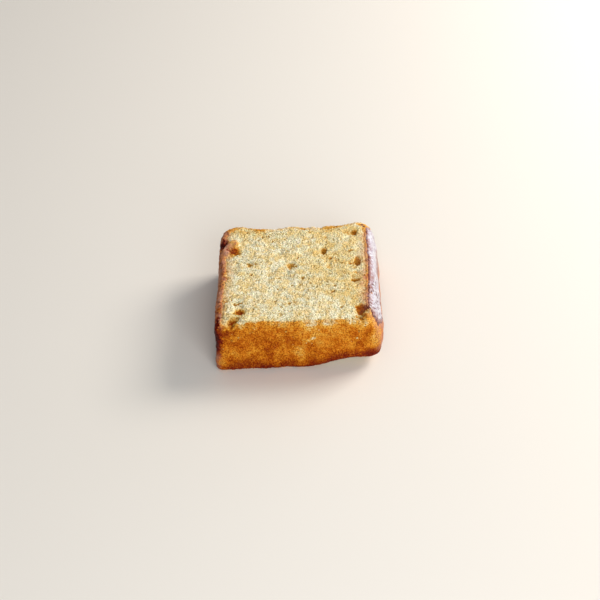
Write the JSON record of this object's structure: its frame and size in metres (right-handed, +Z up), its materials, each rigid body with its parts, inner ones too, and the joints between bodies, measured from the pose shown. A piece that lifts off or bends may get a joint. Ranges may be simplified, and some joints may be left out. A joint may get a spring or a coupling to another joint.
{
  "type": "orange loaf cake slice",
  "caption": "Thick slice of loaf cake lying on a knife cut: bare porous crumb above, browned crust on the sides, glazed crust at one end.",
  "frame": {"origin": "middle of the slice's box, on the surface that it rests on", "axes": "+X from the base crust towards the glazed top crust, +Y towards the rear wall crust, +Z up through the slice's thickness"},
  "size_m": [0.0802, 0.078, 0.0301],
  "materials": {
    "cake": "matte porous pale yellow crumb on both cuts, golden to dark browned crust on the sides"
  },
  "bodies": {
    "root": {"cake_slice": "cake"}
  },
  "joints": []
}
